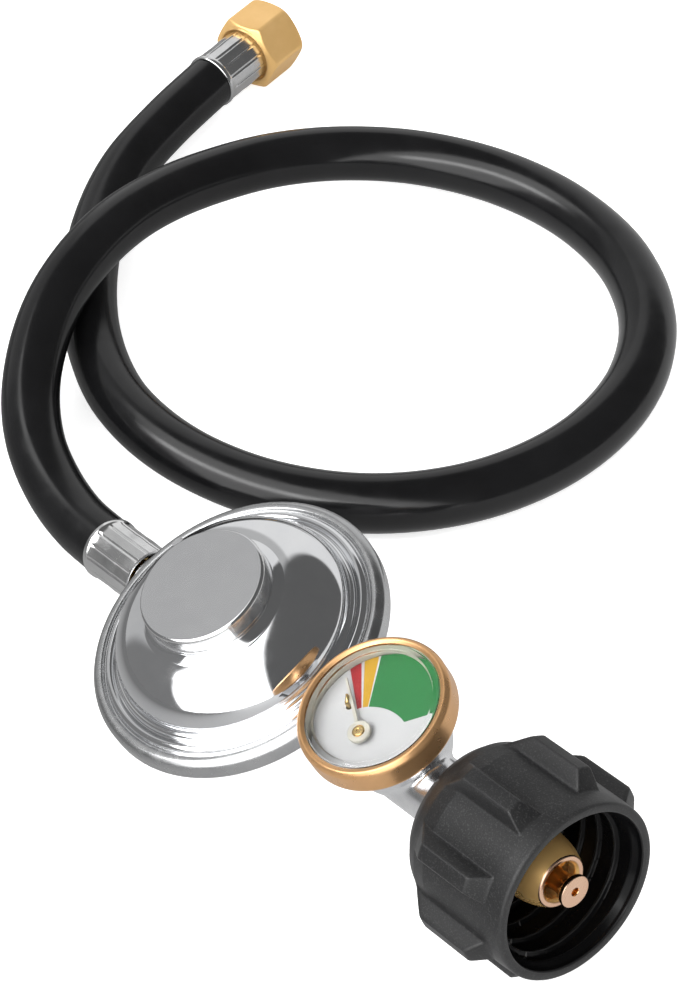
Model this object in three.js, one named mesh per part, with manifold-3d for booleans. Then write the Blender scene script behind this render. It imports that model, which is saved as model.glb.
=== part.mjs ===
// In-line low-pressure gas regulator with a hand nut, a pressure gauge and a short hose, in millimetres.
// Every regulator piece is made in the regulator's own frame and laid down as a group:
//   X runs along the gas line towards the hand nut's mouth, Z is the diaphragm's axis (bonnet up),
//   and the frame's origin is where the two cross.
import Module from 'manifold-3d';
import * as THREE from 'three';
import { mergeVertices } from 'three/addons/utils/BufferGeometryUtils.js';

const wasm = await Module();
wasm.setup();

// ---- Driving dimensions ------------------------------------------------------------------------
const GAP = 0.3; // clearance between pieces that only touch

// How the regulator lies: nose up on its nut, rolled to one side.
const NOSE_UP = 6.52 * Math.PI / 180;
const ROLL = 19.3 * Math.PI / 180;
const AXIS_HEIGHT = 13.88; // of the regulator's origin above the surface
const CENTRE_X = 25.73; // moves the middle of the regulator's box onto the origin
const CENTRE_Y = -2.38;

// Diaphragm casing.
const FLANGE_R = 35;
const FLANGE_TOP = 10.3;
const CLAMP_Z = 8.2; // underside of the diaphragm
const DIAPHRAGM_T = 0.8;
const SHEET = 1.2; // bonnet sheet thickness
const DOME_R = 27.6;
const NECK_R = 11.6;
const NECK_TOP = 23.6;
const CAP_R = 14.7;
const CAP_TOP = 27.8;
const CAP_BOTTOM = 22.9;

// Gas line.
const ARM_R = 7.55;
const ARM_END = 82.2;
const BORE_R = 2.5;
const ORIFICE_X = 20;
const STUB_R = 6.5;
const STUB_END = -38.7;
const FERRULE_END = -56;

// Hand nut and inlet nipple.
const MOUTH_X = 106.4;
const NUT_LENGTH = 34;
const NUT_R = 20.3;
const NUT_RIM_R = 20.15;
const LUG_R = 24;
const LUGS = 8;
const LUG_PHASE = 40.5 * Math.PI / 180;
const LUG_TOP = 4.2 * Math.PI / 180; // half the angle that a lug's top spans
const LUG_FOOT = 8.6 * Math.PI / 180;
const THREAD_R = 16.9;
const THREAD_CREST_R = 15.3;
const THREAD_PITCH = 5.08;
const MOUTH_R = 17.9;
const COLLAR_X = 82.5;
const NIPPLE_R = 8;
const NIPPLE_END = 102;
const TIP_X = 106;
const TIP_R = 3.58;

// Gauge.
const GAUGE_X = 51.4;
const GAUGE_Y = 2.2;
const BEZEL_R = 17.2;
const BEZEL_TOP = 20.5;
const BEZEL_BOTTOM = 14.2;
const DIAL_R = 15.3;
const DIAL_Z = 15.4;
const POINTER_Y = -5.45; // pointer spindle from the gauge's middle
const POINTER_REST = 149 * Math.PI / 180;
const STOP_PIN = [-7.8, -2.1]; // across the gauge's face
const PINION_TEETH = 8;
const SECTOR_TEETH = 40; // on the full circle
const GEAR_MODULE = 0.3;

// Hose and its far end.
const HOSE_R = 7.15;
const HOSE_BORE_R = 4;
const HOSE_NECK_R = 5.9; // where the ferrule's crimp squeezes it
const HOSE_SIDES = 10;
const HOSE_STEPS = 56;
const BARB_R = 3.7;
const BARB_BORE_R = 2.4;
const FERRULE_R = 7.55;
const FERRULE_BORE_R = 6.2;
const FERRULE_LENGTH = 17;
const FAR_FERRULE_LENGTH = 15.8;
const NECK_LENGTH = 14; // of the hose inside the near ferrule
const FAR_NECK_LENGTH = 12.5;
const FLUTES = 14;
const FLARE_AF = 19.05; // across the hexagon's flats
const FLARE_LENGTH = 13.4;
const FLARE_HEADING = 12.7 * Math.PI / 180; // from Y, anticlockwise

// Where the hose lies, as heights and places along its middle from the regulator to the flare end.
const ROUTE = [
  [-55.6, 0, 7.55], [-68, 0.3, 7.2], [-81, 2.5, 8], [-94.2, 6.9, 10.2], [-106.2, 14.2, 13.3], [-116.6, 24.4, 16.9],
  [-124.9, 36.5, 20.3], [-131, 50, 22.3], [-135.9, 65, 22.3], [-139, 80.7, 20.2], [-139.7, 97.3, 17.2],
  [-137.3, 114.5, 14.2], [-129.9, 131.2, 11.4], [-116.6, 146.3, 9], [-97.3, 157, 7.4], [-73.7, 160.6, 7.2],
  [-49, 156.6, 7.2], [-27.2, 144.1, 7.2], [-12.3, 124.4, 7.2], [-6.6, 100.5, 7.2], [-10.8, 76.2, 7.2],
  [-24.2, 55, 7.2], [-45, 39.8, 7.2], [-70, 32.2, 7.2], [-95.3, 32.8, 7.2], [-119.2, 41.7, 7.2],
  [-140, 55.6, 7.2], [-156.8, 71.6, 7.5], [-168.6, 89.1, 8.6], [-176, 107.9, 9.4], [-182, 127.2, 9.6],
];

// ---- Materials ---------------------------------------------------------------------------------
const paint = (color, roughness, metalness) => ({ color, roughness, metalness });
const BLACK_PLASTIC = paint(0x3a3a3a, 0.6, 0);
const BLACK_RUBBER = paint(0x151515, 0.35, 0);
const CHROME = paint(0xd8d9db, 0.12, 1);
const ZINC = paint(0xc8c9cc, 0.3, 1);
const STEEL = paint(0xb0b2b5, 0.35, 1);
const BRASS = paint(0xd4a55c, 0.28, 1);
const GOLD_BRASS = paint(0xc98f4a, 0.3, 1);
const WHITE = paint(0xf0f0ee, 0.5, 0);
const CLEAR = paint(0xf4f8fa, 0.05, 0);

// ---- Shape helpers -----------------------------------------------------------------------------
const TURN = 2 * Math.PI;

// One closed solid with shared vertices and no triangle of zero area.
function closed(geometry) {
  const bare = geometry.index ? geometry.toNonIndexed() : geometry.clone();
  bare.deleteAttribute('normal');
  bare.deleteAttribute('uv');
  const merged = mergeVertices(bare, 1e-5);
  const index = merged.index.array;
  const kept = [];
  for (let i = 0; i < index.length; i += 3) {
    const [a, b, c] = [index[i], index[i + 1], index[i + 2]];
    if (a !== b && b !== c && c !== a) kept.push(a, b, c);
  }
  merged.setIndex(kept);
  return merged;
}

function solid(geometry) {
  const g = closed(geometry);
  return new wasm.Manifold(new wasm.Mesh({
    numProp: 3,
    vertProperties: new Float32Array(g.attributes.position.array),
    triVerts: new Uint32Array(g.index.array),
  }));
}

function shell(manifold) {
  const mesh = manifold.getMesh();
  const g = new THREE.BufferGeometry();
  g.setAttribute('position', new THREE.BufferAttribute(new Float32Array(mesh.vertProperties), 3));
  g.setIndex([...mesh.triVerts]);
  return g;
}

// Joins the first list of shapes and cuts the second list from them.
function carve(add, cut = []) {
  let whole = solid(add[0]);
  for (const g of add.slice(1)) whole = whole.add(solid(g));
  for (const g of cut) whole = whole.subtract(solid(g));
  return shell(whole);
}

// A profile of [radius, along] points, anticlockwise and closing on itself, turned about Z.
function turned(profile, segments = 32) {
  const points = [...profile, profile[0]].map(([r, z]) => new THREE.Vector2(r, z));
  return closed(new THREE.LatheGeometry(points, segments)).rotateX(Math.PI / 2);
}

// The same, turned about X.
function turnedX(profile, segments = 32) {
  return turned(profile, segments).rotateY(Math.PI / 2);
}

const tube = (inner, outer, low, high) => [[inner, low], [outer, low], [outer, high], [inner, high]];
const rod = (radius, low, high) => tube(0, radius, low, high);

function box(x, y, z) {
  return new THREE.BoxGeometry(x[1] - x[0], y[1] - y[0], z[1] - z[0])
    .translate((x[0] + x[1]) / 2, (y[0] + y[1]) / 2, (z[0] + z[1]) / 2);
}

function pulled(points, low, high, holes = []) {
  const shape = new THREE.Shape(points.map(([x, y]) => new THREE.Vector2(x, y)));
  shape.holes = holes.map((hole) => new THREE.Path(hole.map(([x, y]) => new THREE.Vector2(x, y))));
  return new THREE.ExtrudeGeometry(shape, { depth: high - low, steps: 1, bevelEnabled: false })
    .translate(0, 0, low);
}

// A round outline, with a point at each of count even steps.
function circle(radius, count, from = 0) {
  return Array.from({ length: count }, (_, i) => {
    const angle = from + TURN * i / count;
    return [radius * Math.cos(angle), radius * Math.sin(angle)];
  });
}

// A wire of round section along a curve.
function wire(curve, radius, steps, sides = 6) {
  const section = new THREE.Shape(circle(radius, sides).map(([x, y]) => new THREE.Vector2(x, y)));
  return closed(new THREE.ExtrudeGeometry(section, { steps, extrudePath: curve, bevelEnabled: false }));
}

class Coil extends THREE.Curve {
  constructor(radius, low, high, turns) {
    super();
    Object.assign(this, { radius, low, high, turns });
  }

  getPoint(t, target = new THREE.Vector3()) {
    const angle = TURN * this.turns * t;
    return target.set(
      this.radius * Math.cos(angle),
      this.radius * Math.sin(angle),
      this.low + (this.high - this.low) * t,
    );
  }
}

// A toothed outline with slim teeth, which leaves play in the mesh.
function toothed(pitchRadius, teeth, first, last, phase) {
  const root = pitchRadius - 1.3 * GEAR_MODULE;
  const tip = pitchRadius + 0.75 * GEAR_MODULE;
  const step = TURN / teeth;
  const points = [];
  for (let i = first; i <= last; i += 1) {
    const middle = phase + i * step;
    for (const [r, share] of [[root, -0.26], [tip, -0.1], [tip, 0.1], [root, 0.26]]) {
      const angle = middle + share * step;
      points.push([r * Math.cos(angle), r * Math.sin(angle)]);
    }
  }
  return points;
}

const model = new THREE.Group();
const regulator = new THREE.Group();
regulator.rotation.set(ROLL, -NOSE_UP, 0, 'YXZ');
regulator.position.set(-CENTRE_X, -CENTRE_Y, AXIS_HEIGHT);
model.add(regulator);

function add(name, geometry, look, parent = regulator) {
  const mesh = new THREE.Mesh(geometry, new THREE.MeshStandardMaterial(look));
  mesh.name = name;
  parent.add(mesh);
  return mesh;
}

// ---- Body casting ------------------------------------------------------------------------------
const bowl = turned([
  [0, -7.5], [13, -7.5], [19.5, -5.6], [24, -2.2], [28, 3], [30.5, 5.6], [33.3, 5.9], [33.3, CLAMP_Z - GAP],
  [0, CLAMP_Z - GAP],
], 36);
const chamber = turned([
  [0, -4.5], [17, -4.5], [21, -2.5], [26, 3.5], [27.5, CLAMP_Z + 1], [0, CLAMP_Z + 1],
], 32);
const boss = turned([[0, 0], [10.2, 0], [11.3, 3], [13.2, 10], [13.8, 13], [11.8, 13], [11.8, 8.6], [0, 8.6]], 32)
  .translate(GAUGE_X, GAUGE_Y, 0);
const pinEar = (y) => box([10.9, 14.1], [y - 0.8, y + 0.8], [-5, -1.6]);
const pinHole = turned(rod(0.9, -8, 8), 12).rotateX(Math.PI / 2).translate(12.5, 0, -3);
const bodyShell = solid(bowl)
  .subtract(solid(chamber))
  .add(solid(turnedX(rod(ARM_R, ORIFICE_X + 2.5, ARM_END), 32)))
  .add(solid(turnedX([[0, 68.2], [ARM_R, 68.2], [9.2, 70], [9.2, 72], [0, 72]], 32)))
  .add(solid(turnedX([[0, STUB_END], [STUB_R, STUB_END], [STUB_R, -30], [7.3, -27], [7.3, -22], [0, -22]], 32)))
  .add(solid(boss))
  .add(solid(pinEar(3.6)))
  .add(solid(pinEar(-3.6)))
  .subtract(solid(turned(rod(27.5, 6.6, 9), 32)))
  .subtract(solid(turnedX(rod(3.7, 15, 27), 24)))
  .subtract(solid(turnedX(rod(BORE_R, 26, 70), 24)))
  .subtract(solid(turnedX(rod(5.5, 66, 90), 24)))
  .subtract(solid(turnedX(rod(4, -45, -15), 24)))
  .subtract(solid(turned(rod(1.4, 0, 12), 12).translate(GAUGE_X, GAUGE_Y - 0.9, 0)))
  .subtract(solid(turned(rod(3.3, 3, 12), 20).translate(GAUGE_X, GAUGE_Y, 0)))
  .subtract(solid(pinHole));
add('body_casting', shell(bodyShell), ZINC);

// ---- Valve: orifice, seat, holder and lever ----------------------------------------------------
add('orifice', turnedX([[1.5, 20.6], [1.9, ORIFICE_X], [2.4, ORIFICE_X], [3.4, 21.5], [3.4, 25.7], [1.5, 25.7]], 24), BRASS);
add('seat_pad', turnedX(rod(2.6, 18.5, 19.3), 20), BLACK_RUBBER);
add('valve_holder', turnedX([
  [0, 9.6], [1.75, 9.6], [1.75, 11.2], [0.9, 11.2], [0.9, 13.9], [3, 13.9], [3, 18.2], [0, 18.2],
], 20), BRASS);
const leverSide = [[11.9, -4], [13.1, -4], [13.1, 3.3], [-1.4, 3.3], [-1.4, 2.1], [11.9, 2.1]];
const leverPlate = pulled(leverSide, -2.4, 2.4).rotateX(Math.PI / 2);
add('lever', carve(
  [leverPlate, turned(rod(1.3, -2.4, 2.4), 16).rotateX(Math.PI / 2).translate(12.5, 0, -3)],
  [
    box([11, 14], [-1.2, 1.2], [-1.45, 1.5]),
    box([-3, 4], [1.1, 4], [0, 4]),
    box([-3, 4], [-4, -1.1], [0, 4]),
    turned(rod(0.95, -4, 4), 12).rotateX(Math.PI / 2).translate(12.5, 0, -3),
  ],
), STEEL);
add('lever_pin', turned(rod(0.6, -4.3, 4.3), 12).rotateX(Math.PI / 2).translate(12.5, 0, -3), STEEL);

// ---- Diaphragm stack ---------------------------------------------------------------------------
const DIAPHRAGM_TOP = CLAMP_Z + DIAPHRAGM_T;
add('diaphragm', turned([
  [2.3, CLAMP_Z], [20.5, CLAMP_Z], [21.8, 7], [24.2, 7], [25.5, CLAMP_Z], [33.2, CLAMP_Z],
  [33.2, DIAPHRAGM_TOP], [25, DIAPHRAGM_TOP], [23.8, 7.8], [22.2, 7.8], [21, DIAPHRAGM_TOP], [2.3, DIAPHRAGM_TOP],
], 32), BLACK_RUBBER);
add('diaphragm_plate', turned([
  [2.3, 9.3], [19, 9.3], [19, 11], [18.2, 11], [18.2, 10.1], [2.3, 10.1],
], 32), STEEL);
const post = turned([
  [0, -0.6], [2.6, -0.6], [2.6, 5.6], [5.5, 6.4], [5.5, 7.9], [2, 7.9], [2, 10.4], [3.6, 10.4], [3.6, 11.4], [0, 11.4],
], 24);
add('diaphragm_post', carve([post], [box([-4, 4], [-1.5, 1.5], [1.2, 4.2])]), BRASS);
add('main_spring', wire(new Coil(6.6, 11.2, 18.6, 4.5), 0.75, 50, 5), STEEL);
add('adjusting_screw', turned([
  [0, 21.2], [5, 21.2], [5, 19.7], [9.6, 19.7], [9.6, 23.4], [3, 23.4], [3, 22.4], [0, 22.4],
], 32), BLACK_PLASTIC);

// ---- Bonnet and its cap ------------------------------------------------------------------------
// The sheet rises from the flange, rolls its rim round the body's flange and ends in a threaded neck.
function domeHeight(r) {
  const across = (r - NECK_R) / (DOME_R - NECK_R);
  return 11.2 + 10.6 * Math.sqrt(1 - across ** 2.6);
}
const domeRadii = [27.2, 26.4, 24.8, 22.4, 19.4, 16, 13.4];
const domeOuter = domeRadii.map((r) => [r, domeHeight(r)]);
const domeInner = [...domeRadii].reverse().map((r) => [r - 0.9, domeHeight(r) - SHEET]);
const bonnet = turned([
  [26.4, 9.3], [33.6, 9.3], [33.6, 5.6], [31.4, 5.6], [31.4, 4.9], [34.2, 4.9], [FLANGE_R, 5.6],
  [FLANGE_R, 8.8], [33.9, FLANGE_TOP], [32.2, FLANGE_TOP], [31.6, 9.9], [30.8, 10.6], [29.6, 10.6],
  [28.9, 10.2], [28.2, 11.1], ...domeOuter, [NECK_R, 22], [NECK_R, NECK_TOP],
  [9.9, NECK_TOP], [9.9, 18.4], [11.4, 18.4], ...domeInner.slice(1),
], 40);
const VENT_ANGLE = 164 * Math.PI / 180;
const ventSpot = (g) => g.translate(24.2, 0, 14).rotateZ(VENT_ANGLE);
// The rolled rim is notched over the inlet arm and the outlet stub.
add('bonnet', carve([bonnet], [
  ventSpot(turned(rod(1.8, -4, 9), 16)),
  turnedX(rod(ARM_R + GAP, 25, 40), 32),
  turnedX(rod(STUB_R + GAP, -40, -25), 32),
]), CHROME);
add('vent_screen', turned(rod(1.5, -0.3, 0.3), 16).translate(24.2, 0, 17.6).rotateZ(VENT_ANGLE), STEEL);
add('bonnet_cap', turned([
  [NECK_R + GAP, CAP_BOTTOM], [14.4, CAP_BOTTOM], [CAP_R, 23.4], [CAP_R, 27.2], [14.1, CAP_TOP], [0, CAP_TOP],
  [0, 26], [NECK_R + GAP, 26],
], 32), STEEL);

// ---- Outlet barb and ferrules ------------------------------------------------------------------
function barbProfile(low, high) {
  const teeth = [];
  for (let x = low + 3; x < high - 11; x += 3) teeth.push([BARB_R, x], [BARB_R - 0.5, x + 0.2]);
  return [[BARB_BORE_R, low], [3.2, low], ...teeth, [BARB_R, high - 9], [BARB_R, high], [BARB_BORE_R, high]];
}

// A crimped sleeve along Z from 0, with a plain rim at the hose's end.
function ferrule(length) {
  const rim = 1.4;
  const outline = [];
  for (let i = 0; i < FLUTES; i += 1) {
    for (const [r, share] of [[7.05, 0], [FERRULE_R - 0.2, 0.14], [FERRULE_R - 0.2, 0.86]]) {
      const angle = TURN * (i + share) / FLUTES;
      outline.push([r * Math.cos(angle), r * Math.sin(angle)]);
    }
  }
  return carve(
    [pulled(outline, rim - 0.2, length), turned(rod(FERRULE_R, 0, rim), 28)],
    [turned(rod(FERRULE_BORE_R, -1, length + 1), 28)],
  );
}

add('outlet_barb', turnedX(barbProfile(-55, -28), 24), BRASS);
add('outlet_ferrule', ferrule(FERRULE_LENGTH).rotateY(Math.PI / 2).translate(FERRULE_END, 0, 0), CHROME);

// ---- Inlet nipple, probe and excess-flow check -------------------------------------------------
add('inlet_nipple', turnedX([
  [2.4, 66.5], [5.2, 66.5], [5.2, COLLAR_X + 0.1], [12, COLLAR_X + 0.1], [12, 85.6], [NIPPLE_R, 86.4],
  [NIPPLE_R, 93.5], [7.7, 96.5], [6.9, 99.5], [5.9, 101.6], [5.6, NIPPLE_END], [4.9, NIPPLE_END],
  [4.25, 101], [4.25, 85.5], [2.4, 85.5],
], 32), BRASS);
const probeSpider = box([97, 99], [-3.95, 3.95], [-0.7, 0.7]);
add('inlet_probe', carve([
  turnedX([
    [0, 96.5], [1.7, 96.5], [2.3, 99], [2.3, 102.6], [3, 104.4], [TIP_R, 104.8], [TIP_R, TIP_X], [0.9, TIP_X],
    [0.9, 104.6], [0, 104.6],
  ], 24),
  probeSpider,
  probeSpider.clone().rotateX(Math.PI / 2),
]), GOLD_BRASS);
add('flow_poppet', turnedX([
  [0, 83.5], [1.1, 83.5], [1.1, 88.4], [3.7, 88.4], [3.7, 89.6], [1.6, 92.6], [0, 92.6],
], 20), BRASS);
add('flow_spring', wire(new Coil(3.3, 0.3, 2.4, 2.5), 0.25, 24, 5).rotateY(Math.PI / 2).translate(COLLAR_X + 3.3, 0, 0), STEEL);

// ---- Thermal bushing and hand nut --------------------------------------------------------------
add('thermal_bushing', turnedX(tube(ARM_R + 0.35, 13.2, 77.3, 79.8), 32), BLACK_RUBBER);

const nutBack = MOUTH_X - NUT_LENGTH;

function lug(phase) {
  const low = NUT_R - 1.5;
  const outline = [
    [low, -LUG_FOOT], [NUT_R, -LUG_FOOT], [LUG_R, -LUG_TOP], [LUG_R, LUG_TOP], [NUT_R, LUG_FOOT], [low, LUG_FOOT],
  ].map(([r, angle]) => [r * Math.cos(phase + angle), r * Math.sin(phase + angle)]);
  return pulled(outline, nutBack + 6, MOUTH_X - 4);
}
const nutBody = turned([
  [0, nutBack], [13, nutBack], [16.2, nutBack + 1.1], [18.4, nutBack + 3.6], [19.8, nutBack + 6.6],
  [NUT_R, nutBack + 9.6], [NUT_R, MOUTH_X - 4], [NUT_RIM_R, MOUTH_X - 0.8], [NUT_RIM_R - 0.5, MOUTH_X], [0, MOUTH_X],
], 40);
const threadSteps = [];
for (let i = 3; i >= 0; i -= 1) {
  const x = MOUTH_X - 5 - THREAD_PITCH * i;
  threadSteps.push([THREAD_R, x - 1.9], [THREAD_CREST_R, x - 1.1], [THREAD_CREST_R, x + 0.5], [THREAD_R, x + 1.3]);
}
const nutCavity = turned([
  [0, 77], [14, 77], [14, 84.3], ...threadSteps, [THREAD_R, MOUTH_X - 2], [MOUTH_R, MOUTH_X - 0.6],
  [MOUTH_R, MOUTH_X + 1], [0, MOUTH_X + 1],
], 32);
let handNut = solid(nutBody);
for (let i = 0; i < LUGS; i += 1) {
  // Phase is measured from the regulator's Y towards its Z, once the nut's axis is laid along X.
  handNut = handNut.add(solid(lug(LUG_PHASE + Math.PI / 2 + TURN * i / LUGS)));
}
// A cone at each end slopes the lugs' end faces.
handNut = handNut
  .intersect(solid(turned([
    [0, nutBack - 1], [14, nutBack - 1], [NUT_R - 0.4, nutBack + 7.2], [LUG_R + 0.2, nutBack + 12],
    [LUG_R + 0.2, MOUTH_X - 8.1], [LUG_R, MOUTH_X - 7.9], [NUT_R + 0.1, MOUTH_X - 4.9], [NUT_R + 0.1, MOUTH_X + 1],
    [0, MOUTH_X + 1],
  ], 40)))
  .subtract(solid(nutCavity))
  .subtract(solid(turned(rod(8.1, nutBack - 1, 78), 32)));
add('hand_nut', shell(handNut).rotateY(Math.PI / 2), BLACK_PLASTIC);

// ---- Gauge -------------------------------------------------------------------------------------
const gauge = new THREE.Group();
gauge.position.set(GAUGE_X, GAUGE_Y, 0);
regulator.add(gauge);

add('gauge_socket', carve(
  [
    turned(rod(3, 3.4, 9.4), 20),
    box([-3, 6.8], [-8, 3], [9.6, 10.6]),
    box([5.2, 6.8], [-8, -6.6], [9.6, 10.95]),
    turned(rod(2.8, 9, 10), 20),
  ],
  [turned(rod(1, 2, 9), 10)],
), BRASS, gauge);
add('gauge_case', turned([
  [3.4, 8.9], [11.5, 8.9], [11.5, 13.4], [16.2, 13.4], [16.2, 18.2], [15.7, 18.2], [15.7, 14], [10.9, 14],
  [10.9, 9.3], [3.4, 9.3],
], 32), GOLD_BRASS, gauge);
add('gauge_bezel', turned([
  [16.5, BEZEL_BOTTOM], [BEZEL_R - 0.3, BEZEL_BOTTOM], [BEZEL_R, BEZEL_BOTTOM + 0.6], [BEZEL_R, BEZEL_TOP - 0.6],
  [16.7, BEZEL_TOP], [15.5, BEZEL_TOP], [15.1, BEZEL_TOP - 0.4], [16.5, 20.05],
], 40), GOLD_BRASS, gauge);
add('gauge_lens', turned([
  [0, 18.6], [16.1, 18.6], [16.1, 19.7], [14.8, 19.7], [14.8, 20.1], [13.4, 20.1], [13.4, 19.7], [0, 19.7],
], 36), CLEAR, gauge);
const spindleHole = turned(rod(0.95, 10, 18), 14).translate(0, POINTER_Y, 0);
add('gauge_dial', carve(
  [turned(rod(DIAL_R, DIAL_Z - 0.5, DIAL_Z), 36)],
  [spindleHole, turned(rod(0.8, 10, 18), 12).translate(...STOP_PIN, 0)],
), WHITE, gauge);
add('stop_pin', turned(rod(0.5, DIAL_Z - 0.9, DIAL_Z + 2.1), 10).translate(...STOP_PIN, 0), BRASS, gauge);

// Movement: the tube's tip pulls the sector round, and the sector turns the pointer's pinion.
const PINION_R = PINION_TEETH * GEAR_MODULE / 2;
const SECTOR_R = SECTOR_TEETH * GEAR_MODULE / 2;
const SECTOR_Y = POINTER_Y + PINION_R + SECTOR_R;
const frameHoles = [
  turned(rod(0.8, 9, 12), 12).translate(0, POINTER_Y, 0),
  turned(rod(0.8, 9, 12), 12).translate(0, SECTOR_Y, 0),
];
add('movement_plate', carve([box([-4.2, 4.2], [-7.6, 3.6], [10.9, 11.4])], frameHoles), BRASS, gauge);
const pinionOutline = toothed(PINION_R, PINION_TEETH, 0, PINION_TEETH - 1, Math.PI / 2 + TURN / PINION_TEETH / 2);
add('spindle_pinion', carve([
  pulled(pinionOutline, 11.8, 12.8),
  turned(rod(0.5, 11, DIAL_Z + 0.4), 12),
]).translate(0, POINTER_Y, 0), BRASS, gauge);
const sectorArc = toothed(SECTOR_R, SECTOR_TEETH, -5, 2, -Math.PI / 2);
const sectorOutline = [...sectorArc, [1.6, 0.2], [1, 3.4], [-1, 3.4], [-1.6, 0.2]];
add('sector_gear', carve(
  [pulled(sectorOutline, 12, 12.6), turned(rod(0.5, 11, 13.2), 12)],
).translate(0, SECTOR_Y, 0), BRASS, gauge);
add('gauge_link', box([-0.4, 0.4], [-0.4, 4.9], [12.9, 13.3]).rotateZ(-0.46)
  .translate(0, SECTOR_Y + 2.7, 0), STEEL, gauge);
const bourdonPath = new THREE.CatmullRomCurve3(Array.from({ length: 21 }, (_, i) => {
  const angle = (-52 - 11.6 * i) * Math.PI / 180;
  return new THREE.Vector3(9.9 * Math.cos(angle), 9.9 * Math.sin(angle), 12.3);
}));
const flatTube = new THREE.Shape([[-1.1, -0.35], [1.1, -0.35], [1.1, 0.35], [-1.1, 0.35]]
  .map(([x, y]) => new THREE.Vector2(x, y)));
add('bourdon_tube', closed(new THREE.ExtrudeGeometry(flatTube, {
  steps: 26, extrudePath: bourdonPath, bevelEnabled: false,
})), BRASS, gauge);
const bladeOutline = [[-2.6, -0.6], [1.2, -0.6], [14.6, -0.25], [14.6, 0.25], [1.2, 0.6], [-2.6, 0.6]];
const pointerBlade = pulled(bladeOutline, 16.6, 17).rotateZ(POINTER_REST);
add('pointer', carve(
  [pointerBlade, turned(rod(2.3, 16.3, 17.2), 24)],
  [turned(rod(0.6, 16, 16.7), 12)],
).translate(0, POINTER_Y, 0), WHITE, gauge);

// ---- Hose and flare end ------------------------------------------------------------------------
const toPoint = ([x, y, z]) => new THREE.Vector3(x - CENTRE_X, y - CENTRE_Y, z);
const hosePath = new THREE.CatmullRomCurve3(ROUTE.map(toPoint), false, 'centripetal');

function along(radius) {
  const section = new THREE.Shape(circle(radius, HOSE_SIDES).map(([x, y]) => new THREE.Vector2(x, y)));
  return new THREE.ExtrudeGeometry(section, { steps: HOSE_STEPS, extrudePath: hosePath, bevelEnabled: false });
}

// The two ferrule mouths: their places, and axes pointing away from the hose.
regulator.updateMatrixWorld(true);
const nearEnd = new THREE.Group();
nearEnd.position.copy(regulator.localToWorld(new THREE.Vector3(FERRULE_END, 0, 0)));
nearEnd.quaternion.copy(regulator.quaternion).multiply(
  new THREE.Quaternion().setFromAxisAngle(new THREE.Vector3(0, 1, 0), Math.PI / 2),
);
const farEnd = new THREE.Group();
farEnd.position.copy(hosePath.getPoint(1)).setZ(FLARE_AF / 2 + 0.05);
farEnd.rotation.set(-Math.PI / 2, 0, FLARE_HEADING, 'ZXY');
model.add(nearEnd, farEnd);

// The hose is cut square at each mouth, and only its squeezed neck goes inside the ferrule.
function atEnd(end, profile) {
  end.updateMatrixWorld(true);
  return solid(turned(profile, 20).applyMatrix4(end.matrixWorld));
}
let hose = solid(along(HOSE_R));
for (const end of [nearEnd, farEnd]) hose = hose.subtract(atEnd(end, rod(10, -GAP, 6)));
for (const [end, length] of [[nearEnd, NECK_LENGTH], [farEnd, FAR_NECK_LENGTH]]) {
  hose = hose.add(atEnd(end, rod(HOSE_NECK_R, -1.5, length)));
}
hose = hose.subtract(solid(along(HOSE_BORE_R)));
for (const end of [nearEnd, farEnd]) hose = hose.subtract(atEnd(end, rod(HOSE_BORE_R, -1.5, 20)));
add('hose', shell(hose), BLACK_RUBBER, model);

add('far_ferrule', ferrule(FAR_FERRULE_LENGTH), CHROME, farEnd);

const NUT_START = FAR_FERRULE_LENGTH - 1.2;
const NUT_END = NUT_START + FLARE_LENGTH;
// The flare seat swells in front of the nut's inner shoulder, so the nut turns but can't come off.
add('flare_barb', turned([
  [BARB_BORE_R, 1.2], [3.2, 1.2], [BARB_R, 4], [BARB_R, FAR_FERRULE_LENGTH + 0.6],
  [4.6, FAR_FERRULE_LENGTH + 0.9], [4.6, NUT_START + 3.9], [6.6, NUT_START + 5.2], [6.6, NUT_START + 6.2],
  [3, NUT_START + 9.4], [BARB_BORE_R, NUT_START + 9.4],
], 24), BRASS, farEnd);
const hexR = FLARE_AF / Math.sqrt(3);
const hexagon = pulled(circle(hexR, 6), NUT_START, NUT_END);
const chamfer = turned([
  [0, NUT_START], [9.2, NUT_START], [hexR + 0.2, NUT_START + 1.6], [hexR + 0.2, NUT_END - 2.8],
  [9.9, NUT_END - 0.8], [9, NUT_END], [0, NUT_END],
], 36);
const flareBore = turned([
  [0, NUT_START - 1], [7.9, NUT_START - 1], [7.9, NUT_START + 1.6], [4.95, NUT_START + 2.2],
  [4.95, NUT_START + 3.5], [7.3, NUT_START + 5.2], [7.3, NUT_END - 0.6], [7.7, NUT_END - 0.2],
  [7.7, NUT_END + 1], [0, NUT_END + 1],
], 28);
const flareNut = solid(hexagon).intersect(solid(chamfer)).subtract(solid(flareBore));
add('flare_nut', shell(flareNut), BRASS, farEnd);

export default model;
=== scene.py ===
"""In-line low-pressure gas regulator with a hand nut, a pressure gauge and a short hose.

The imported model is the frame. Lengths are in millimetres until a mesh is made, and every mesh is in metres.
Pieces of the regulator are made in its own frame: X runs along the gas line towards the hand nut's mouth
and Z is the diaphragm's axis, with the bonnet up.
"""
import math

import bmesh
import bpy
import numpy as np
from mathutils import Matrix, Vector


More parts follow.
